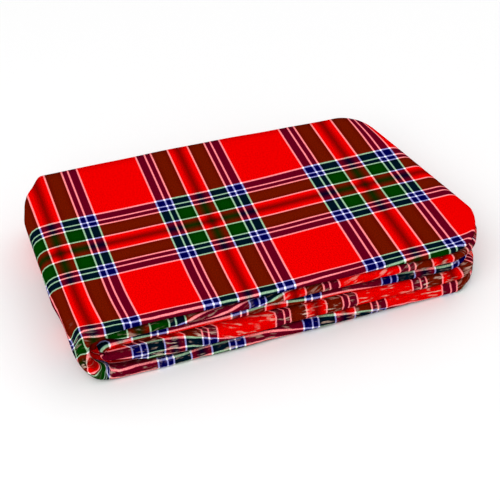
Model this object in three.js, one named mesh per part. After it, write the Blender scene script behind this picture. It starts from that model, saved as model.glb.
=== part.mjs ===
// A tartan fleece throw, folded and lying flat. One sheet of cloth makes the whole object.
// It is pleated four layers deep across its width, then each end of that strip is folded to the
// middle and the two halves are closed like a book, so sixteen layers lie on each other.
// Millimetres. +Z is up, +X runs along the long folded side, and -Y is the side of the rolled folds.
import * as THREE from "three";

// The cloth and how tightly it is folded.
const sheetThickness = 3.3;
const layerGap = 0.95;
const layersPerLeg = 4;
const bookSlit = 1.7; // between the two halves of the closed book

// The folded pack.
const packLength = 420; // along the middle of the depth
const packDepth = 245;
const lowerNoseSetback = 8; // the lower right-hand fold stops short of the upper one
const lowerToeIn = 4; // and its front draws back towards the right
const rightSideSlant = 69; // how much further right the front reaches than the back
const rightSideBow = 1.5;
const rightEndSag = 0.06; // share of its height that the right end has settled
const sagStart = 153;

// How far the corners of the pack are rounded off, seen from above.
const cornerRound = { frontLeft: 26, backLeft: 8, frontRight: 70, backRight: 37 };

// Steps of the mesh.
const legSteps = 10;
const outerTurnSteps = 10;
const noseSteps = 8;
const innerTurnSteps = 4;
const layerSpans = 2;
const rollSpans = 6;

const pitch = sheetThickness + layerGap;
const legThickness = layersPerLeg * sheetThickness + (layersPerLeg - 1) * layerGap;
const noseRadius = legThickness + layerGap / 2;
const packHeight = 4 * legThickness + 2 * layerGap + bookSlit;
const midHeight = packHeight / 2;
const turnCentreX = midHeight;
const upperNoseX = packLength - noseRadius;
const lowerNoseX = packLength - lowerNoseSetback - noseRadius;
const rollRadius = (pitch + sheetThickness) / 2;

// The strip's route, from the end tucked into the upper half to the end tucked into the lower one.
// A leg runs level between two places on X, and a turn sweeps about a centre from one angle to
// another. depthSign says whether the strip's outer face is the far or the near side of the turn,
// and base is the height or radius at the outer face.
const route = [
  { kind: "turn", steps: innerTurnSteps, x: turnCentreX, z: midHeight, from: 177, to: 90,
    base: bookSlit / 2, depthSign: 1 },
  { kind: "leg", steps: legSteps, from: turnCentreX, to: upperNoseX,
    base: midHeight + bookSlit / 2, depthSign: 1 },
  { kind: "turn", steps: noseSteps, x: upperNoseX, z: packHeight - noseRadius, from: -90, to: 90,
    base: noseRadius, depthSign: -1 },
  { kind: "leg", steps: legSteps, from: upperNoseX, to: turnCentreX,
    base: packHeight, depthSign: -1 },
  { kind: "turn", steps: outerTurnSteps, x: turnCentreX, z: midHeight, from: 90, to: 270,
    base: midHeight, depthSign: -1 },
  { kind: "leg", steps: legSteps, from: turnCentreX, to: lowerNoseX,
    base: 0, depthSign: 1 },
  { kind: "turn", steps: noseSteps, x: lowerNoseX, z: noseRadius, from: -90, to: 90,
    base: noseRadius, depthSign: -1 },
  { kind: "leg", steps: legSteps, from: lowerNoseX, to: turnCentreX,
    base: midHeight - bookSlit / 2, depthSign: -1 },
  { kind: "turn", steps: innerTurnSteps, x: turnCentreX, z: midHeight, from: 270, to: 183,
    base: bookSlit / 2, depthSign: 1 },
];

const middleTurn = 4;

function smooth(t) {
  const u = THREE.MathUtils.clamp(t, 0, 1);
  return u * u * (3 - 2 * u);
}

// A station is one cross-section of the strip: it gives X and Z for any depth in the strip.
function stationsOf(stretch) {
  const stations = [];
  for (let i = 0; i <= stretch.steps; i++) {
    const share = i / stretch.steps;
    if (stretch.kind === "leg") {
      const eased = 0.5 - 0.5 * Math.cos(Math.PI * share);
      const at = THREE.MathUtils.lerp(stretch.from, stretch.to, eased);
      stations.push((depth) => [at, stretch.base + stretch.depthSign * depth]);
    } else {
      const angle = THREE.MathUtils.degToRad(THREE.MathUtils.lerp(stretch.from, stretch.to, share));
      stations.push((depth) => {
        const radius = stretch.base + stretch.depthSign * depth;
        return [stretch.x + radius * Math.cos(angle), stretch.z + radius * Math.sin(angle)];
      });
    }
  }
  return stations;
}

// The pleated cross-section, as pairs of points on the two faces of the sheet. along runs from 0 at
// the front to 1 at the back, reach is what a rolled fold stands out past that, and depth counts
// from the strip's outer face.
function pleatedSection() {
  const pairs = [];
  for (let layer = 0; layer < layersPerLeg; layer++) {
    const towardsFront = layer % 2 === 0;
    const middle = layer * pitch + sheetThickness / 2;
    const side = towardsFront ? -1 : 1;
    for (let i = 0; i <= layerSpans; i++) {
      const share = i / layerSpans;
      const along = towardsFront ? 1 - share : share;
      const freeEdge = (layer === 0 && i === 0) || (layer === layersPerLeg - 1 && i === layerSpans);
      const reach = freeEdge ? rollRadius : 0;
      pairs.push([
        { along, reach, depth: middle + (side * sheetThickness) / 2 },
        { along, reach, depth: middle - (side * sheetThickness) / 2 },
      ]);
    }
    if (layer === layersPerLeg - 1) break;
    const foldMiddle = middle + pitch / 2;
    const end = towardsFront ? 0 : 1;
    for (let i = 1; i < rollSpans; i++) {
      const angle = (Math.PI * i) / rollSpans;
      const pointAt = (radius) => ({
        along: end,
        reach: (towardsFront ? -1 : 1) * radius * Math.sin(angle),
        depth: foldMiddle - radius * Math.cos(angle),
      });
      const outer = pointAt((pitch + sheetThickness) / 2);
      const inner = pointAt((pitch - sheetThickness) / 2);
      pairs.push(towardsFront ? [outer, inner] : [inner, outer]);
    }
  }
  return pairs;
}

// How far a side edge draws in where it comes near the end of the pack.
function cornerInset(distance, round) {
  return distance < round ? round * (1 - Math.max(distance, 0) / round) ** 2.5 : 0;
}

// One point of the cloth: the corners are drawn in, the right side slants, and the right end sags.
function placePoint(station, point, lowerHalf) {
  const [x, z] = station(point.depth);
  const toRight = packLength - (lowerHalf ? lowerNoseSetback : 0) - x;
  const settled = smooth((x - sagStart) / (packLength - sagStart));
  const front =
    cornerInset(x, cornerRound.frontLeft) +
    cornerInset(toRight, cornerRound.frontRight) +
    (lowerHalf ? lowerToeIn * settled : 0);
  const back = cornerInset(x, cornerRound.backLeft) + cornerInset(toRight, cornerRound.backRight);
  const near = front + rollRadius;
  const far = packDepth - back - rollRadius;
  const y = near + point.along * (far - near) + point.reach;
  const share = y / packDepth;
  const slant = rightSideSlant * (0.5 - share) + rightSideBow * 4 * share * (1 - share);
  return new THREE.Vector3(x + slant * settled, y, z * (1 - rightEndSag * settled));
}

function foldedThrow() {
  const section = pleatedSection();
  const ring = [...section.map((pair) => pair[0]), ...section.map((pair) => pair[1]).reverse()];
  const positions = [];
  let rings = 0;
  route.forEach((stretch, index) => {
    const stations = stationsOf(stretch);
    const lowerHalf = index > middleTurn;
    stations.slice(index ? 1 : 0).forEach((station) => {
      ring.forEach((point) => positions.push(...placePoint(station, point, lowerHalf).toArray()));
      rings += 1;
    });
  });
  const count = ring.length;
  const indices = [];
  const quad = (a, b, c, d) => indices.push(a, c, b, a, d, c);
  for (let r = 0; r + 1 < rings; r++) {
    for (let i = 0; i < count; i++) {
      const next = (i + 1) % count;
      quad(r * count + i, r * count + next, (r + 1) * count + next, (r + 1) * count + i);
    }
  }
  const last = (rings - 1) * count;
  for (let i = 0; i + 1 < section.length; i++) {
    const across = count - 1 - i;
    quad(i, across, across - 1, i + 1);
    quad(last + i, last + i + 1, last + across - 1, last + across);
  }
  const geometry = new THREE.BufferGeometry();
  geometry.setAttribute("position", new THREE.Float32BufferAttribute(positions, 3));
  geometry.setIndex(indices);
  geometry.computeBoundingBox();
  const box = geometry.boundingBox;
  geometry.translate(-(box.min.x + box.max.x) / 2, -(box.min.y + box.max.y) / 2, -box.min.z);
  geometry.computeVertexNormals();
  return geometry;
}

const fleece = new THREE.MeshStandardMaterial({ color: 0xc8141a, roughness: 0.9, metalness: 0 });
const folded = new THREE.Mesh(foldedThrow(), fleece);
folded.name = "folded_throw";

const throwBlanket = new THREE.Group();
throwBlanket.add(folded);

export default throwBlanket;
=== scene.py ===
import math

import bpy
import numpy as np
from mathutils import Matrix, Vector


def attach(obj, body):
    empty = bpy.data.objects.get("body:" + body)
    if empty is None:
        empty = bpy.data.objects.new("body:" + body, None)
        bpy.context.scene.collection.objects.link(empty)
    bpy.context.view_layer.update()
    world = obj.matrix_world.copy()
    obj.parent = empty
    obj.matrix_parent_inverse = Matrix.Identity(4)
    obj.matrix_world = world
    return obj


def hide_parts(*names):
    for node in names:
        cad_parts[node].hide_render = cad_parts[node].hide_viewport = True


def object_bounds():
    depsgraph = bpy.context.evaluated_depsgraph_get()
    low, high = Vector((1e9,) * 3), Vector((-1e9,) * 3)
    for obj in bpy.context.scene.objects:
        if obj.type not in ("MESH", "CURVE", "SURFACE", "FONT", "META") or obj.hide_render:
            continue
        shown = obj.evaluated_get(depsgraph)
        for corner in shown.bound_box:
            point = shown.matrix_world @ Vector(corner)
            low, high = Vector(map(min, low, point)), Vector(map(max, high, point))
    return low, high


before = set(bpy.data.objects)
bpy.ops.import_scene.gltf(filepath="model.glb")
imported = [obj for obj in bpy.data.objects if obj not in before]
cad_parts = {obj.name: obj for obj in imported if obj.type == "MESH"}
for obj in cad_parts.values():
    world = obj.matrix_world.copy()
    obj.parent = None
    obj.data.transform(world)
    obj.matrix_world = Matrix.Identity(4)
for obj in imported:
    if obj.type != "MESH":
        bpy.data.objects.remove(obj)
cadLow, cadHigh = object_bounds()
print("frame loaded")

mm = 0.001
scene = bpy.context.scene
scene.view_settings.view_transform = "Standard"
bpy.ops.object.select_all(action="DESELECT")

# One sheet of fleece: pleated four layers deep across its width, then each end of that strip is
# folded to the middle and the two halves are closed like a book. All in millimetres.
throwFold = {
    "cutWidth": 980.0,
    "cutLength": 1620.0,
    "sheetThickness": 3.3,
    "visibleThickness": 3.1,
    "layerGap": 0.95,
    "layers": 4,
    "bookSlit": 1.7,
    "packLength": 420.0,  # along the middle of the depth
    "packDepth": 245.0,
    "lowerNoseSetback": 8.0,
    "lowerToeIn": 4.0,
    "rightSideSlant": 69.0,
    "rightSideBow": 1.5,
    "rightEndSag": 0.06,
    "sagStart": 153.0,
    "cornerRound": {"frontLeft": 26.0, "backLeft": 10.0, "frontRight": 70.0, "backRight": 37.0},
    "lowerCornerRound": 50.0,  # the lower front corner on the right pokes out a little
    "cornerPower": 2.5,
    "backLeftPull": 16.0,  # how far that corner is rounded along the pack
    "backLeftReach": 25.6,
    "pullReach": 33.0,
    "tuckedLength": 45.0,  # the strip's two ends are tucked in tight
    "legBlendFrom": 60.0,  # along a leg its left value gives way to its right one
    "legBlend": 300.0,
}
# Places along the strip. Each stretch of its route counts 1, and the left turn runs from 4 to 5.
stripPlace = {"upperTuck": 2, "leftTurn": 4, "leftMiddle": 4.5, "baseMiddle": 5.5, "lowerTuck": 7}
# The lid's left edge is square and hangs over, and below it the end draws in.
leftEnd = {
    "squareness": 2.6,
    "overhang": 7.0,
    "hangFrom": 28.0,
    "hangRise": 32.0,
    "hangDepth": 28.0,
    "hangFront": 2.0,  # where it starts, from the front and from the back
    "hangBack": 15.0,
    "hangFade": 45.0,
    "drawnIn": 2.5,
    "drawnTop": 52.0,
    "drawnFade": 20.0,
    "drawnFoot": 12.0,
}
# Round the left end the outermost front fold is fat, and the fold inside it lies back.
leftCorner = {"puff": 1.9, "back": 18.0, "from": 3.9, "to": 4.9, "fade": 0.25}
# At the right-hand front corner the two halves part, and the bottom one tucks under.
rightNotch = {
    "reach": 60.0,  # from the right end
    "frontFrom": 15.0,
    "frontReach": 95.0,
    "partDepth": 26.0,
    "partHeight": 7.0,
    "tuckDepth": 14.0,
    "tuckHeight": 8.0,
}
throwMesh = {
    "legSteps": {"innerUpper": 56, "lid": 112, "base": 84, "innerLower": 56},
    "turnSteps": {"inner": 8, "nose": 16, "outer": 28},
    "endCrowding": 0.4,  # the steps of a leg are shorter at both ends
    "topSpans": 44,
    "layerSpans": 11,
    "frontCrowding": 2.4,  # rows crowd towards the front, where the folds puff out
    "topCrowding": 0.2,
    "rollSpans": 10,
}
# What differs from leg to leg of the folded strip, at the left and at the right end of each leg.
# A leg that a table leaves out has 0.
legNames = ("innerUpper", "lid", "base", "innerLower")
# A fold along the front lies back and puffs up.
frontFolds = {
    "outerBack": {"innerUpper": (9, 8), "lid": (4, 7), "base": (1, 3), "innerLower": (2, 3)},
    "outerPuff": {
        "innerUpper": (2.0, 1.9), "lid": (1.0, 1.0), "base": (1.6, 3.3), "innerLower": (4.2, 2.8),
    },
    "innerBack": {"innerUpper": (14, 13), "lid": (1, 4), "base": (18, 18), "innerLower": (20, 20)},
    "innerPuff": {"innerUpper": (1, 1), "lid": (1.2, 1.2), "base": (1, 1), "innerLower": (1, 1)},
}
frontShape = {
    "puffReach": (5.0, 3.0),  # how far back a fold is puffed: for all, and more the fatter it is
    "puffSpread": 0.7,
    "lieReach": 45.0,
    "waveHeight": 0.9,
    "waveLengths": (61.0, 97.0, 143.0),
    "waveStep": 30.0,  # how much the waves shift from one leg to the next
    "waveSeed": 1.3,
    "waveReach": 40.0,
}
# How crumpled the folds are, from 0 to 1.
crumples = {
    "outer": {"innerUpper": (0.3, 0.35), "base": (0.7, 0.55), "innerLower": (0.9, 1.0)},
    "inner": {
        "innerUpper": (0.3, 0.3), "lid": (0.6, 0.9), "base": (0.3, 0.3), "innerLower": (0.5, 0.5),
    },
}
crumpleSize = {
    "reach": 7.0,  # how far behind the front edge the crumples fade
    "height": 1.4,
    "along": (9.0, 15.5, 23.0),
    "across": (5.2, 7.7, 11.0),
    "acrossStretch": 1.6,
    "wander": ((1.9, 0.9, 2.1), (1.1, 0.37, 1.0)),  # size, share of the length and shift
    "shift": (1.3, 0.7),
    # How strongly the crumples and the groove carry painted sheen highlight streaks.
    "highlightShare": 0.6,
    "highlightGroove": 0.8,
}
# The fattest fold of each half has a groove along it.
groove = {
    "depth": 1.6,
    "width": 0.13,
    "middle": 0.52,  # as a share of the way round the fold
    "sway": ((0.16, 17.0), (0.05, 4.1)),  # size and length
    "puffFrom": 2.2,
    "puffRange": 1.2,
}
# Soft creases on the lid, pressed in or raised, in millimetres from the pack's left and front.
lidCreases = [
    {"start": (14, 176), "end": (38, 140), "height": 0.7, "width": 2.2},
    {"start": (4, 150), "end": (16, 118), "height": -0.6, "width": 2.4},
    {"start": (86, 118), "end": (150, 131), "height": 0.5, "width": 2.5},
    {"start": (205, 96), "end": (262, 88), "height": -0.45, "width": 3.0},
    {"start": (300, 196), "end": (352, 182), "height": 0.5, "width": 3.0},
    {"start": (345, 60), "end": (385, 36), "height": -0.5, "width": 3.0},
    {"start": (368, 84), "end": (398, 62), "height": 0.5, "width": 2.6},
    {"start": (40, 44), "end": (78, 30), "height": 0.5, "width": 2.6},
]
creaseBend = {"size": 1.5, "length": 7.0, "endSteps": 3}  # a crease fades over a third at each end
lidWaves = {"height": 0.5, "lengths": (78.0, 121.0, 190.0), "seed": 0.4}
rippleTurn = {"step": 2.399, "shift": 1.7}  # each wave of a ripple runs another way


def smoothStep(t):
    u = np.clip(t, 0.0, 1.0)
    return u * u * (3 - 2 * u)


def cornerInset(distance, size):
    inside = np.clip(1 - np.clip(distance, 0, None) / size, 0, None)
    return size * inside ** throwFold["cornerPower"]


def ripple(x, y, lengths, seed):
    total = 0.0
    for k, length in enumerate(lengths):
        turn = rippleTurn["step"] * (k + 1) + seed
        across = x * math.cos(turn) + y * math.sin(turn)
        total = total + np.sin(2 * math.pi * across / length + rippleTurn["shift"] * seed + k * k)
    return total / len(lengths)


def softCrease(x, y, crease):
    (x0, y0), (x1, y1) = crease["start"], crease["end"]
    length = math.hypot(x1 - x0, y1 - y0)
    along = ((x - x0) * (x1 - x0) + (y - y0) * (y1 - y0)) / length
    away = ((x - x0) * (y1 - y0) - (y - y0) * (x1 - x0)) / length
    away = away + creaseBend["size"] * np.sin(along / creaseBend["length"])
    share = along / length
    ends = smoothStep(share * creaseBend["endSteps"])
    ends = ends * smoothStep((1 - share) * creaseBend["endSteps"])
    return crease["height"] * ends * np.exp(-((away / crease["width"]) ** 2))


# The pleated cross-section, a row for each line of points. along runs from 0 at the front to 1 at
# the back, reach is what a fold stands out past that, and depth counts from the strip's outer face.
# roll is the pair of layers that a front fold joins, and foldCount is odd on a front fold.
def sectionOf(fold, counts):
    pitch = fold["sheetThickness"] + fold["layerGap"]
    rows = []
    for layer in range(fold["layers"]):
        towardsFront = layer % 2 == 0
        lastLayer = layer == fold["layers"] - 1
        depth = layer * pitch + fold["sheetThickness"] / 2
        spans = counts["layerSpans"] if layer else counts["topSpans"]
        for i in range(spans + 1):
            share = 1 - i / spans if towardsFront else i / spans
            crowded = share ** counts["frontCrowding"]
            if layer == 0:
                crowded = (1 - counts["topCrowding"]) * share + counts["topCrowding"] * crowded
            freeEdge = (layer == 0 and i == 0) or (lastLayer and i == spans)
            reach = (pitch + fold["sheetThickness"]) / 2 if freeEdge else 0.0
            rows.append((crowded, reach, depth, layer // 2, 0))
        if lastLayer:
            break
        for i in range(1, counts["rollSpans"]):
            angle = math.pi * i / counts["rollSpans"]
            reach = (-1 if towardsFront else 1) * pitch / 2 * math.sin(angle)
            turned = depth + pitch / 2 * (1 - math.cos(angle))
            if towardsFront:
                rows.append((0.0, reach, turned, layer // 2, layer + 1))
            else:
                rows.append((1.0, reach, turned, -1, layer + 1))
    return np.array(rows).T


# The stations along the strip, and how much each one belongs to each leg.
def stationsOf(fold, counts):
    leg = fold["layers"] * fold["sheetThickness"] + (fold["layers"] - 1) * fold["layerGap"]
    nose = leg + fold["layerGap"] / 2
    height = 4 * leg + 2 * fold["layerGap"] + fold["bookSlit"]
    middle = height / 2
    slit = fold["bookSlit"] / 2
    upperNose = fold["packLength"] - nose
    lowerNose = fold["packLength"] - fold["lowerNoseSetback"] - nose
    steps, inner, noses, outer = counts["legSteps"], *counts["turnSteps"].values()
    # Kind, steps, centre X and Z, from, to, base, side of the outer face, and the legs it joins.
    route = [
        ("turn", inner, middle, middle, 177, 90, slit, 1, 0, 0),
        ("level", steps["innerUpper"], 0, 0, middle, upperNose, middle + slit, 1, 0, 0),
        ("turn", noses, upperNose, height - nose, -90, 90, nose, -1, 0, 1),
        ("level", steps["lid"], 0, 0, upperNose, middle, height, -1, 1, 1),
        ("turn", outer, middle, middle, 90, 270, middle, -1, 1, 2),
        ("level", steps["base"], 0, 0, middle, lowerNose, 0, 1, 2, 2),
        ("turn", noses, lowerNose, nose, -90, 90, nose, -1, 2, 3),
        ("level", steps["innerLower"], 0, 0, lowerNose, middle, middle - slit, -1, 3, 3),
        ("turn", inner, middle, middle, 270, 183, slit, 1, 3, 3),
    ]
    stations, weights = [], []
    for k, (kind, n, x, z, start, end, base, sign, first, last) in enumerate(route):
        for i in range(1 if k else 0, n + 1):
            share = i / n
            eased = 0.5 - 0.5 * math.cos(math.pi * share)
            crowded = share
            if kind == "level":
                crowded = (1 - counts["endCrowding"]) * share + counts["endCrowding"] * eased
            at = start + (end - start) * crowded
            lower = k > stripPlace["leftTurn"]
            stations.append((kind == "turn", x, z, at, base, sign, lower, k + share))
            weight = np.zeros(len(legNames))
            weight[first] += 1 - eased
            weight[last] += eased
            weights.append(weight)
    return np.array(stations, dtype=float), np.array(weights), middle


def byLeg(table, weights, x):
    right = smoothStep((x - throwFold["legBlendFrom"]) / throwFold["legBlend"])
    total = 0.0
    for k, name in enumerate(legNames):
        atLeft, atRight = table.get(name, (0, 0))
        total = total + weights[:, [k]] * (atLeft + (atRight - atLeft) * right)
    return total


def layCloth(fold, counts):
    along, reach, depth, roll, foldCount = sectionOf(fold, counts)
    stations, weights, middle = stationsOf(fold, counts)
    isTurn, cx, cz, at, base, sign, lower, place = (column[:, None] for column in stations.T)
    angle = np.radians(at)
    stationX = np.where(isTurn > 0, cx + base * np.cos(angle), at)
    folds = {name: byLeg(table, weights, stationX) for name, table in frontFolds.items()}
    corner = smoothStep((place - leftCorner["from"]) / leftCorner["fade"])
    corner = corner * (1 - smoothStep((place - leftCorner["to"]) / leftCorner["fade"]))
    folds["outerPuff"] = folds["outerPuff"] + leftCorner["puff"] * corner
    further = np.clip(leftCorner["back"] - folds["innerBack"], 0, None)
    folds["innerBack"] = folds["innerBack"] + corner * further
    tucked = 1 - smoothStep((stationX - middle) / fold["tuckedLength"])
    tucked = ((place < stripPlace["upperTuck"]) | (place > stripPlace["lowerTuck"])) * tucked
    for name in ("outerPuff", "innerPuff"):
        folds[name] = 1 + (folds[name] - 1) * (1 - tucked)

    # The layers, fanned out where a front fold is puffed, and carried round the route.
    pitch = fold["sheetThickness"] + fold["layerGap"]
    radius = (2 * fold["sheetThickness"] + fold["layerGap"]) / 2
    outerPair, innerPair = (roll == 0)[None, :], (roll == 1)[None, :]
    fromFront = along[None, :] * (fold["packDepth"] - 2 * radius)
    fromBack = (1 - along[None, :]) * (fold["packDepth"] - 2 * radius)
    puff = np.where(outerPair, folds["outerPuff"], np.where(innerPair, folds["innerPuff"], 1.0))
    plainReach, moreReach = frontShape["puffReach"]
    nearFront = np.exp(-((fromFront / (plainReach + moreReach * puff)) ** 2))
    pairTop = fold["sheetThickness"] / 2 + 2 * pitch * innerPair
    deep = pairTop + (depth[None, :] - pairTop) * (1 + (puff - 1) * nearFront)
    turnRadius = base + sign * deep
    atEnd = np.floor(place) == stripPlace["leftTurn"]
    share = np.clip(turnRadius / middle, 0, 1)
    square = np.where(atEnd & (np.sin(angle) > 0), 2 + leftEnd["squareness"] * share ** 2, 2.0)
    bulge = (np.abs(np.cos(angle)) ** square + np.abs(np.sin(angle)) ** square) ** (-1 / square)
    turnRadius = turnRadius * bulge
    x = np.where(isTurn > 0, cx + turnRadius * np.cos(angle), at + 0 * deep)
    z = np.where(isTurn > 0, cz + turnRadius * np.sin(angle), base + sign * deep)

    hang = smoothStep((z - leftEnd["hangFrom"]) / leftEnd["hangRise"])
    hang = hang * smoothStep((middle - x) / leftEnd["hangDepth"])
    drawnIn = smoothStep((leftEnd["drawnTop"] - z) / leftEnd["drawnFade"])
    drawnIn = drawnIn * smoothStep(z / leftEnd["drawnFoot"]) * np.clip((middle - x) / middle, 0, 1)
    toBack = fold["packDepth"] - leftEnd["hangBack"] - fromFront
    fromCorner = smoothStep((fromFront - leftEnd["hangFront"]) / leftEnd["hangFade"])
    fromCorner = fromCorner * smoothStep(toBack / leftEnd["hangFade"])
    drawnIn = leftEnd["drawnIn"] * drawnIn * share ** 3
    x = x - atEnd * (leftEnd["overhang"] * hang * fromCorner - drawnIn)
    pull = fold["backLeftPull"] * np.clip(1 - fromBack / fold["backLeftReach"], 0, None) ** 2
    x = x + pull * (1 - smoothStep(x / fold["pullReach"]))

    # The four corners, and how far each front fold lies back.
    size = fold["cornerRound"]
    toRight = fold["packLength"] - lower * fold["lowerNoseSetback"] - x
    settled = smoothStep((x - fold["sagStart"]) / (fold["packLength"] - fold["sagStart"]))
    rightRound = size["frontRight"] + lower * (fold["lowerCornerRound"] - size["frontRight"])
    front = (cornerInset(x, size["frontLeft"]) + cornerInset(toRight, rightRound)
             + lower * fold["lowerToeIn"] * settled)
    back = cornerInset(x, size["backLeft"]) + cornerInset(toRight, size["backRight"])
    wider = puff ** frontShape["puffSpread"]
    near = front + radius + (wider - 1) * pitch / 2
    far = fold["packDepth"] - back - radius
    onFrontFold = (foldCount % 2 == 1)[None, :]
    y = near + along[None, :] * (far - near) + reach[None, :] * np.where(onFrontFold, wider, 1.0)
    lieBack = np.where(outerPair, folds["outerBack"], np.where(innerPair, folds["innerBack"], 0.0))
    y = y + lieBack * np.exp(-((fromFront / frontShape["lieReach"]) ** 2))
    stepped = frontShape["waveStep"] * place
    waves = ripple(x, stepped, frontShape["waveLengths"], frontShape["waveSeed"])
    y = y + frontShape["waveHeight"] * waves * np.exp(-fromFront / frontShape["waveReach"])

    # Crumples along the front folds, and the groove along the fattest ones.
    isFront = (foldCount == 1) | (foldCount == 3)
    arc = np.where(isFront, np.abs(reach) / (pitch / 2), 0.0)[None, :]
    turned = np.cumsum((foldCount % 2 == 1) / counts["rollSpans"])[None, :] % 1.0
    outerCrumple = byLeg(crumples["outer"], weights, stationX)
    innerCrumple = byLeg(crumples["inner"], weights, stationX)
    crumple = np.where(outerPair, outerCrumple, np.where(innerPair, innerCrumple, 0.0))
    crumple = crumple * np.exp(-((fromFront / crumpleSize["reach"]) ** 2)) * (1 - tucked)
    stationRun = np.hypot(np.diff(stationX[:, 0]), 1.0)
    stationRun = np.cumsum(np.concatenate([[0.0], stationRun]))[:, None]
    sectionRun = np.hypot(np.diff(depth), np.diff(reach)) * crumpleSize["acrossStretch"]
    sectionRun = np.cumsum(np.concatenate([[0.0], sectionRun]))[None, :]
    (bend, bendShare, bendShift), (fine, fineShare, fineShift) = crumpleSize["wander"]
    acrossShift, alongShift = crumpleSize["shift"]
    rough = 0.0
    for k, (length, width) in enumerate(zip(crumpleSize["along"], crumpleSize["across"])):
        wander = (bend * np.sin(stationRun / (length * bendShare) + bendShift * k)
                  + fine * np.sin(stationRun / (length * fineShare) + fineShift * k))
        wrinkle = np.sin(2 * math.pi * (sectionRun / width) + wander + acrossShift * k)
        rough = rough + wrinkle * np.sin(stationRun / length + alongShift * k)
    rough = rough / len(crumpleSize["along"]) * crumpleSize["height"] * crumple
    fat = np.clip(puff - groove["puffFrom"], 0, groove["puffRange"]) / groove["puffRange"]
    (sway, swayLength), (tremble, trembleLength) = groove["sway"]
    sway = sway * np.sin(stationRun / swayLength) + tremble * np.sin(stationRun / trembleLength)
    grooved = np.exp(-(((turned - groove["middle"] - sway) / groove["width"]) ** 2)) * (arc > 0)
    grooved = fat * grooved * (foldCount == 1)[None, :]
    push = rough - groove["depth"] * grooved
    outwards = np.where(depth[None, :] > pairTop + pitch / 2, -1, 1)
    y = y - push * arc
    z = z - sign * push * (1 - arc) * outwards * (arc > 0)

    onLid = weights[:, [1]] * (np.arange(len(along)) <= counts["topSpans"])[None, :]
    for crease in lidCreases:
        z = z + onLid * softCrease(x, y, crease)
    z = z + onLid * lidWaves["height"] * ripple(x, y, lidWaves["lengths"], lidWaves["seed"])

    parted = rightNotch["partDepth"] * np.exp(-(((z - middle) / rightNotch["partHeight"]) ** 2))
    tuckedUnder = rightNotch["tuckDepth"] * np.exp(-((z / rightNotch["tuckHeight"]) ** 2))
    nearEnd = smoothStep((x - fold["packLength"] + rightNotch["reach"]) / rightNotch["reach"])
    notch = (parted + tuckedUnder) * nearEnd
    x = x - notch * (1 - smoothStep((y - rightNotch["frontFrom"]) / rightNotch["frontReach"]))

    # The right side slants, and that end has settled.
    share = y / fold["packDepth"]
    slant = fold["rightSideSlant"] * (0.5 - share) + fold["rightSideBow"] * 4 * share * (1 - share)
    z = z * (1 - fold["rightEndSag"] * settled)
    x = x + slant * settled
    # A mask of painted highlights: pale sheen streaks painted on the crumpled front folds and along
    # the groove. It goes to the material as the crumple attribute.
    highlightMask = np.clip(crumpleSize["highlightShare"] * crumple + crumpleSize["highlightGroove"] * grooved, 0, 1)
    return np.stack([x, y, z], -1), place, weights, stationX, highlightMask


def runLength(points, axis, start):
    step = np.linalg.norm(np.diff(points, axis=axis), axis=-1)
    total = np.concatenate([np.zeros_like(np.take(step, [0], axis)), np.cumsum(step, axis)], axis)
    return total - np.take(total, [start], axis)


points, place, weights, stationX, highlightMask = layCloth(throwFold, throwMesh)
nStations, nRows = points.shape[:2]
print("cloth folded")

# How the printed cloth lies on the folds, in millimetres and shares of a length.
printLie = {
    "stretchStart": 180.0,  # towards the right the cloth is pulled a little longer
    "stretchWidth": 60.0,
    "stretchBack": 0.06,
    "stretchFront": 0.175,
    "backStretchFrom": 165.0,
    "backStretch": 0.22,
    "frontGather": (7.5, 5.5),  # along the front the print is drawn over the edge, left and right
    "gatherWidth": 300.0,
    "gatherReach": 9.0,
    "frontLean": 4.2,  # and it leans a little to the right there, most of all at the left
    "leanReach": 35.0,
    "leanFade": (20.0, 240.0),
    "bow": 11.0,  # towards the right the long stripes bow
    "bowFrom": 170.0,
    "bowReach": 140.0,
    "slideFrom": 30.0,  # the print has slid most along the front
    "slideFade": 100.0,
    "skewFrom": 30.0,  # down the left end and under it the print drifts askew
    "skewTo": 118.0,
    "leftFrom": 100.0,  # the cloth at the left has slid a little more, as far as this
    "leftFade": 70.0,
    "innerFrom": 0.25,  # the hidden layers turn the outer pair's print into the inner pair's
    "innerFade": 1.5,
    "drapeReach": 26.0,  # over the front left corner the print hangs straight down
    "drapeFade": 22.0,
    "drapeDown": 0.85,
    "drapeRows": 60,  # the rows of the outermost layer and its front fold
    "drapeTo": 4.7,  # in places along the strip
    "drapeEnd": 0.38,
}
# How far the print has slid on the front folds.
printSlides = {
    "across": {"innerUpper": (3, 9), "base": (-60, -78), "innerLower": (-145, -113)},
    "along": {"innerUpper": (-72.6, -72.6), "base": (44, 44), "innerLower": (3.8, 3.8)},
    "leftAcross": {"base": (-7, -7), "innerLower": (-9.5, -9.5)},
    "innerAcross": {
        "innerUpper": (-50, -104), "lid": (-50, -104), "base": (-50, -80), "innerLower": (-50, -50),
    },
    "innerAlong": dict.fromkeys(legNames, (-47, -47)),
}
# Behind the front folds the two lower legs have slid too, the more the further right.
backSlides = {
    "across": {"base": (0, -100), "innerLower": (-100, -100)},
    "along": {"base": (0, 24), "innerLower": (24, 24)},
    "alongAtBack": {"base": (0, -69), "innerLower": (-69, -69)},  # it follows the slanted end
}
printStretch = {"base": (-0.04, -0.04), "innerLower": (-0.07, -0.07)}

lidEnd = int(np.argmin(np.abs(place[:, 0] - stripPlace["leftTurn"])))
leftMiddle = int(np.argmin(np.abs(place[:, 0] - stripPlace["leftMiddle"])))
middleRow = throwMesh["topSpans"] // 2
outer = slice(throwMesh["topSpans"], None, -1)  # the outermost layer, from the front to the back
x, y, z = points[..., 0], points[..., 1], points[..., 2]


def placeAlong(stretch):
    step = np.linalg.norm(np.diff(points, axis=0), axis=-1)
    step = step / (1 + (stretch[1:] + stretch[:-1]) / 2)
    run = np.concatenate([np.zeros((1, nRows)), np.cumsum(step, 0)])
    run = run[lidEnd] - run
    return np.stack([np.interp(y[i], y[i, outer], run[i, outer]) for i in range(nStations)])


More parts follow.
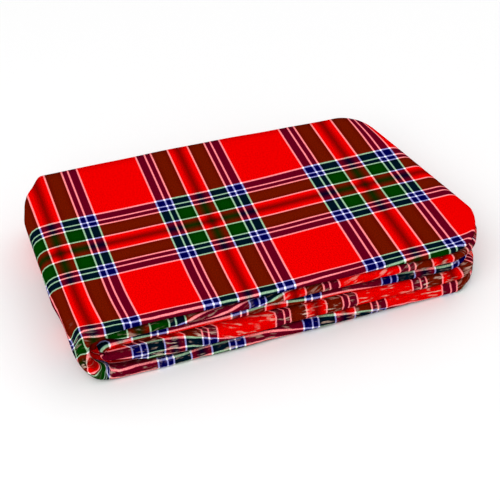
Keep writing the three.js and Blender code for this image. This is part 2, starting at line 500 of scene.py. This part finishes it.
# Where each point lies on the flat cloth: flatU along the strip, flatV across it.
def layPrint(lie):
    onLid = weights[:, [1]]
    moreFront = (lie["stretchFront"] - lie["stretchBack"]) * (1 - y / throwFold["packDepth"])
    toRight = smoothStep((x - lie["stretchStart"]) / lie["stretchWidth"])
    stretch = byLeg(printStretch, weights, stationX)
    stretch = stretch + onLid * toRight * (lie["stretchBack"] + moreFront)
    hidden = runLength(points[leftMiddle][None], 1, throwMesh["topSpans"])[0]
    hidden = hidden / throwFold["packDepth"]
    inner = smoothStep((hidden - lie["innerFrom"]) / lie["innerFade"])[None, :]
    flatU = (1 - inner) * placeAlong(stretch) + inner * placeAlong(0 * stretch)
    flatV = y[:, [middleRow]] - runLength(points, 1, middleRow)
    flatV = flatV - lie["backStretch"] * np.clip(flatV - lie["backStretchFrom"], 0, None)

    # The slides change from leg to leg, and between the lid and the base on the left turn.
    slideWeights = weights.copy()
    aroundLeft = (place[:, 0] > stripPlace["leftTurn"]) & (place[:, 0] < stripPlace["baseMiddle"])
    turnRun = runLength(points[:, middleRow], 0, lidEnd)[aroundLeft]
    drift = smoothStep((turnRun - lie["skewFrom"]) / (lie["skewTo"] - lie["skewFrom"]))
    slideWeights[aroundLeft, 2] = drift
    slideWeights[aroundLeft, 1] = 1 - drift
    atFront = 1 - smoothStep((y - lie["slideFrom"]) / lie["slideFade"])
    slides = {
        name: atFront * byLeg(table, slideWeights, stationX) for name, table in printSlides.items()
    }
    behind = {
        name: (1 - atFront) * byLeg(table, slideWeights, stationX)
        for name, table in backSlides.items()
    }
    across = slides["across"] + behind["across"]
    along = slides["along"] + behind["along"]
    along = along + behind["alongAtBack"] * y / throwFold["packDepth"]
    flatU = flatU + along + inner * slides["innerAlong"]

    gatherLeft, gatherRight = lie["frontGather"]
    gather = gatherLeft + (gatherRight - gatherLeft) * smoothStep(x / lie["gatherWidth"])
    fromEdge = np.clip(y - y.min(1, keepdims=True), 0, None)
    gathered = np.exp(-((fromEdge / lie["gatherReach"]) ** 2))
    leanFrom, leanWidth = lie["leanFade"]
    leaning = np.exp(-((y / lie["leanReach"]) ** 2)) * (1 - smoothStep((x - leanFrom) / leanWidth))
    flatV = flatV - gather * gathered * onLid * (1 - inner)
    flatU = flatU - lie["frontLean"] * leaning * onLid * (1 - inner)

    draped = 1 - smoothStep((place - lie["drapeTo"]) / lie["drapeEnd"])
    draped = (place > stripPlace["leftTurn"]) * draped
    draped = draped * smoothStep((lie["drapeReach"] - y) / lie["drapeFade"])
    draped = draped * (np.arange(nRows) < lie["drapeRows"])[None, :]
    drapedU = flatU[lidEnd] - (x[lidEnd] - x)
    drapedV = flatV[lidEnd] - lie["drapeDown"] * (z[lidEnd] - z)
    flatU = (1 - draped) * flatU + draped * drapedU
    flatV = flatV + across + inner * slides["innerAcross"]
    atLeft = 1 - smoothStep((stationX - lie["leftFrom"]) / lie["leftFade"])
    flatV = flatV + slides["leftAcross"] * atLeft
    bowed = (np.clip(x - lie["bowFrom"], 0, None) / lie["bowReach"]) ** 2
    flatV = (1 - draped) * flatV + draped * drapedV - lie["bow"] * (1 - np.exp(-bowed))
    return np.stack([flatU, flatV], -1)


flat = layPrint(printLie) * mm
print("print laid on", nStations, "by", nRows, "points")

shift = np.array([cadLow.x / mm, cadLow.y / mm, 0.0])
bpy.ops.mesh.primitive_grid_add(
    x_subdivisions=nRows - 1, y_subdivisions=nStations - 1, size=1, calc_uvs=True
)  # its points are then laid out along the folds
cloth = bpy.context.object
cloth.name = "throw_cloth"
cloth.data.vertices.foreach_set("co", ((points + shift) * mm).reshape(-1))
cloth.data.update()
uvLayer = cloth.data.uv_layers[0]
uvLayer.name = "flatCloth"
loopPoint = np.empty(len(cloth.data.loops), dtype=np.int32)
cloth.data.loops.foreach_get("vertex_index", loopPoint)
uvLayer.data.foreach_set("uv", flat.reshape(-1, 2)[loopPoint].reshape(-1))
# The mask of painted sheen highlights, stored as the crumple attribute for the material.
highlightLayer = cloth.data.attributes.new("crumple", "FLOAT", "POINT")
highlightLayer.data.foreach_set("value", highlightMask.astype(np.float32).reshape(-1))

solid = cloth.modifiers.new("thickness", "SOLIDIFY")
solid.thickness = throwFold["visibleThickness"] * mm
solid.offset = 0.0
bpy.ops.object.modifier_apply(modifier="thickness")
bpy.ops.object.mode_set(mode="EDIT")
bpy.ops.mesh.select_all(action="SELECT")
bpy.ops.mesh.normals_make_consistent(inside=False)
bpy.ops.object.mode_set(mode="OBJECT")
bpy.ops.object.shade_smooth()
cloth.select_set(False)
print("sheet has", len(cloth.data.polygons), "faces")

# The tartan, as half of one repeat from the middle of the broad red stripe to the middle of the
# shaded red one. Widths are shares of the broad red stripe, and a fine white line lies between
# any two.
tartan = {
    "broadRed": 64.0 * mm,
    "stripes": [
        ("red", 0.5), ("navy", 0.149), ("navy", 0.105), ("green", 0.2895), ("shaded", 0.1725),
    ],
    "lineWidth": 0.028,
    "softEdge": 0.003,
    "red": (0.9, 0.0, 0.0, 1),
    "navy": (0.0, 0.0, 0.36, 1),
    "green": (0.06, 0.305, 0.05, 1),
    "greenEdge": (0.0, 0.235, 0.0, 1),
    "greenSpan": (0.3, 0.7),  # the stripe's middle part, in the lighter green
    "shaded": (0.22, 0.16, 0.03, 1),
    "shadeStart": 0.3,
    "line": (1.26, 1.26, 1.28, 1),
    "startAlong": 60.8 * mm,
    "startAcross": 42.6 * mm,
    "inkGamma": 2.75,
}
pile = {
    "size": 1.1 * mm,
    "detail": 2.0,
    "noiseRange": (0.3, 0.7),
    "speckle": 0.3,
    "height": 0.25 * mm,
    "bump": 0.6,
    "roughness": 0.9,
}
# Where the folds are crumpled, thin pale streaks are painted into the colour: painted sheen
# highlights on the crumple ridges, with the pale ground of the print showing through as well.
sheenStreaks = {
    "length": 15.0 * mm,
    "width": 2.3 * mm,
    "detail": 3.0,
    "distortion": 0.12,
    "noiseRange": (0.55, 0.66),
    "patch": 16.0 * mm,
    "patchRange": (0.42, 0.6),
    "strength": 0.7,
    # the colour of the painted sheen highlight streaks
    "colour": (1.0, 0.7, 0.55, 1),
    "height": 0.8 * mm,
    "bump": 0.8,
}


def node(tree, kind, spot, inputs=None, **settings):
    made = tree.nodes.new("ShaderNode" + kind)
    made.location = spot
    for name, value in settings.items():
        setattr(made, name, value)
    for socket, value in (inputs or {}).items():
        made.inputs[socket].default_value = value
    return made


def noiseRange(tree, spot, source, limits, low=0.0, high=1.0):
    values = {"From Min": limits[0], "From Max": limits[1], "To Min": low, "To Max": high}
    made = node(tree, "MapRange", spot, values)
    tree.links.new(source.outputs[0], made.inputs["Value"])
    return made


def stripeRamp(tree, spot):
    ramp = node(tree, "ValToRGB", spot)
    total = sum(width for _, width in tartan["stripes"])
    soft, halfLine = tartan["softEdge"], tartan["lineWidth"] / 2
    stops, at = [], 0.0
    for k, (colour, width) in enumerate(tartan["stripes"]):
        start = at + (halfLine if k else 0)
        at += width
        end = at - halfLine
        if colour == "shaded":
            shadeAt = start + tartan["shadeStart"] * (at - start)
            stops += [(start / total + soft, "red"), (shadeAt / total, "red"), (1.0, "shaded")]
            continue
        edge = "greenEdge" if colour == "green" else colour
        stops.append((start / total + (soft if k else 0), edge))
        if edge != colour:
            for share in tartan["greenSpan"]:
                stops.append(((start + share * (end - start)) / total, colour))
        stops.append((end / total - soft, edge))
        stops += [(end / total + soft, "line"), ((at + halfLine) / total - soft, "line")]
    elements = ramp.color_ramp.elements
    elements[0].position, elements[0].color = stops[0][0], tartan[stops[0][1]]
    elements[1].position, elements[1].color = stops[-1][0], tartan[stops[-1][1]]
    for position, colour in stops[1:-1]:
        elements.new(position).color = tartan[colour]
    return ramp


def fleeceMaterial():
    material = bpy.data.materials.new("tartanFleece")
    material.use_nodes = True
    tree = material.node_tree
    shader = tree.nodes["Principled BSDF"]
    link = tree.links.new
    uv = node(tree, "UVMap", (-1400, 200), uv_map="flatCloth")
    split = node(tree, "SeparateXYZ", (-1200, 200))
    link(uv.outputs["UV"], split.inputs[0])
    half = sum(width for _, width in tartan["stripes"]) * tartan["broadRed"]
    both = node(tree, "Mix", (-220, 200), data_type="RGBA", clamp_result=True)
    both.inputs[0].default_value = 0.5
    for k, (axis, start) in enumerate((("X", "startAlong"), ("Y", "startAcross"))):
        height = 300 - 200 * k
        moved = node(tree, "Math", (-1000, height), {1: tartan[start]}, operation="SUBTRACT")
        folded = node(tree, "Math", (-840, height), {1: half}, operation="PINGPONG")
        share = node(tree, "Math", (-680, height), {1: half}, operation="DIVIDE")
        ramp = stripeRamp(tree, (-520, height - 50 * k))
        link(split.outputs[axis], moved.inputs[0])
        link(moved.outputs[0], folded.inputs[0])
        link(folded.outputs[0], share.inputs[0])
        link(share.outputs[0], ramp.inputs[0])
        link(ramp.outputs[0], both.inputs[6 + k])
    gamma = node(tree, "Gamma", (-40, 200), {1: tartan["inkGamma"]})
    link(both.outputs[2], gamma.inputs[0])

    tufts = {"Scale": 1 / pile["size"], "Detail": pile["detail"]}
    tufts = node(tree, "TexNoise", (-420, -300), tufts, noise_dimensions="2D")
    link(uv.outputs["UV"], tufts.inputs["Vector"])
    darkest, palest = 1 - pile["speckle"], 1 + pile["speckle"]
    speckle = noiseRange(tree, (-220, -200), tufts, pile["noiseRange"], darkest, palest)
    flecked = node(tree, "VectorMath", (120, 200), operation="SCALE")
    link(gamma.outputs[0], flecked.inputs[0])
    link(speckle.outputs[0], flecked.inputs["Scale"])

    # Painted sheen highlights: thin pale streaks, masked by the crumple attribute, are mixed into
    # the base colour and also pressed in as bumps.
    drawn = node(tree, "Mapping", (-1200, -500))
    drawn.inputs["Scale"].default_value = (1 / sheenStreaks["length"], 1 / sheenStreaks["width"], 1)
    link(uv.outputs["UV"], drawn.inputs["Vector"])
    wrinkle = {"Scale": 1.0, "Detail": sheenStreaks["detail"], "Distortion": sheenStreaks["distortion"]}
    wrinkle = node(tree, "TexNoise", (-1000, -450), wrinkle, noise_dimensions="2D")
    link(drawn.outputs[0], wrinkle.inputs["Vector"])
    thin = noiseRange(tree, (-480, -500), wrinkle, sheenStreaks["noiseRange"])
    patch = {"Scale": 1 / sheenStreaks["patch"]}
    patch = node(tree, "TexNoise", (-1000, -900), patch, noise_dimensions="2D")
    link(uv.outputs["UV"], patch.inputs["Vector"])
    patchy = noiseRange(tree, (-800, -900), patch, sheenStreaks["patchRange"])
    here = node(tree, "Math", (-480, -750), operation="MULTIPLY")
    link(patchy.outputs[0], here.inputs[0])
    link(thin.outputs[0], here.inputs[1])
    mask = node(tree, "Attribute", (-1000, -700), attribute_name="crumple")
    sheenStreak = node(tree, "Math", (-300, -500), operation="MULTIPLY")
    link(here.outputs[0], sheenStreak.inputs[0])
    link(mask.outputs["Fac"], sheenStreak.inputs[1])
    strength = node(tree, "Math", (-120, -500), {1: sheenStreaks["strength"]}, operation="MULTIPLY")
    link(sheenStreak.outputs[0], strength.inputs[0])
    # mixes the painted sheen highlight colour into the printed colour
    sheenHighlighted = node(tree, "Mix", (300, 200), data_type="RGBA")
    sheenHighlighted.inputs[7].default_value = sheenStreaks["colour"]
    link(strength.outputs[0], sheenHighlighted.inputs[0])
    link(flecked.outputs[0], sheenHighlighted.inputs[6])
    link(sheenHighlighted.outputs[2], shader.inputs["Base Color"])

    furred = {"Distance": pile["height"], "Strength": pile["bump"]}
    furred = node(tree, "Bump", (120, -300), furred)
    link(tufts.outputs[0], furred.inputs["Height"])
    creased = {"Distance": sheenStreaks["height"], "Strength": sheenStreaks["bump"]}
    creased = node(tree, "Bump", (300, -400), creased)
    link(strength.outputs[0], creased.inputs["Height"])
    link(furred.outputs[0], creased.inputs["Normal"])
    link(creased.outputs[0], shader.inputs["Normal"])
    shader.inputs["Roughness"].default_value = pile["roughness"]
    shader.inputs["Specular IOR Level"].default_value = 0.0
    return material


cloth.data.materials.clear()
cloth.data.materials.append(fleeceMaterial())
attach(cloth, "root")
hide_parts("folded_throw")
print("throw finished")

studio = {
    "floorSize": 8.0,
    "paper": (0.9, 0.9, 0.9, 1),
    "paperRoughness": 0.9,
    "roomColour": (1, 1, 1, 1),
    "roomLight": 0.75,
}
bpy.ops.mesh.primitive_plane_add(size=studio["floorSize"], location=(0, 0, 0))
floor = bpy.context.object
floor.name = "studio_floor"
floorPaper = bpy.data.materials.new("palePaper")
floorPaper.use_nodes = True
paperShader = floorPaper.node_tree.nodes["Principled BSDF"]
paperShader.inputs["Base Color"].default_value = studio["paper"]
paperShader.inputs["Roughness"].default_value = studio["paperRoughness"]
floor.data.materials.append(floorPaper)

world = bpy.data.worlds.new("softRoom")
scene.world = world
world.use_nodes = True
room = world.node_tree.nodes["Background"]
room.inputs["Color"].default_value = studio["roomColour"]
room.inputs["Strength"].default_value = studio["roomLight"]

softLights = [
    {"place": (-1.2, -1.2, 2.0), "size": 2.0, "watts": 30},
    {"place": (1.4, 0.8, 2.2), "size": 2.4, "watts": 14},
]
for k, lamp in enumerate(softLights):
    bpy.ops.object.light_add(type="AREA", location=lamp["place"])
    light = bpy.context.object
    light.name = "softBox" + str(k + 1)
    light.data.size = lamp["size"]
    light.data.energy = lamp["watts"]
    direction = -light.location.normalized()
    light.rotation_euler = direction.to_track_quat("-Z", "Y").to_euler()
print("studio lit")

photoView = {
    "azimuth": 18.5,
    "elevation": 42.0,
    "distance": 1576.0,
    "aim": (218.7, 137.7, 0.0),  # from the pack's left and front
    "lensMm": 108.0,
    "sensorMm": 36.0,
    "clipEnd": 50,
}
azimuth, elevation = math.radians(photoView["azimuth"]), math.radians(photoView["elevation"])
look = np.array([
    math.sin(azimuth) * math.cos(elevation),
    math.cos(azimuth) * math.cos(elevation),
    -math.sin(elevation),
])
aim = np.array(photoView["aim"]) + shift
bpy.ops.object.camera_add()
camera = bpy.context.object
camera.name = "photoCamera"
camera.data.sensor_width = photoView["sensorMm"]
camera.data.lens = photoView["lensMm"]
camera.location = (aim - look * photoView["distance"]) * mm
camera.rotation_mode = "QUATERNION"
camera.rotation_quaternion = cadLow.__class__(look).to_track_quat("-Z", "Y")
camera.data.clip_end = photoView["clipEnd"]
scene.camera = camera

print("scene ready")
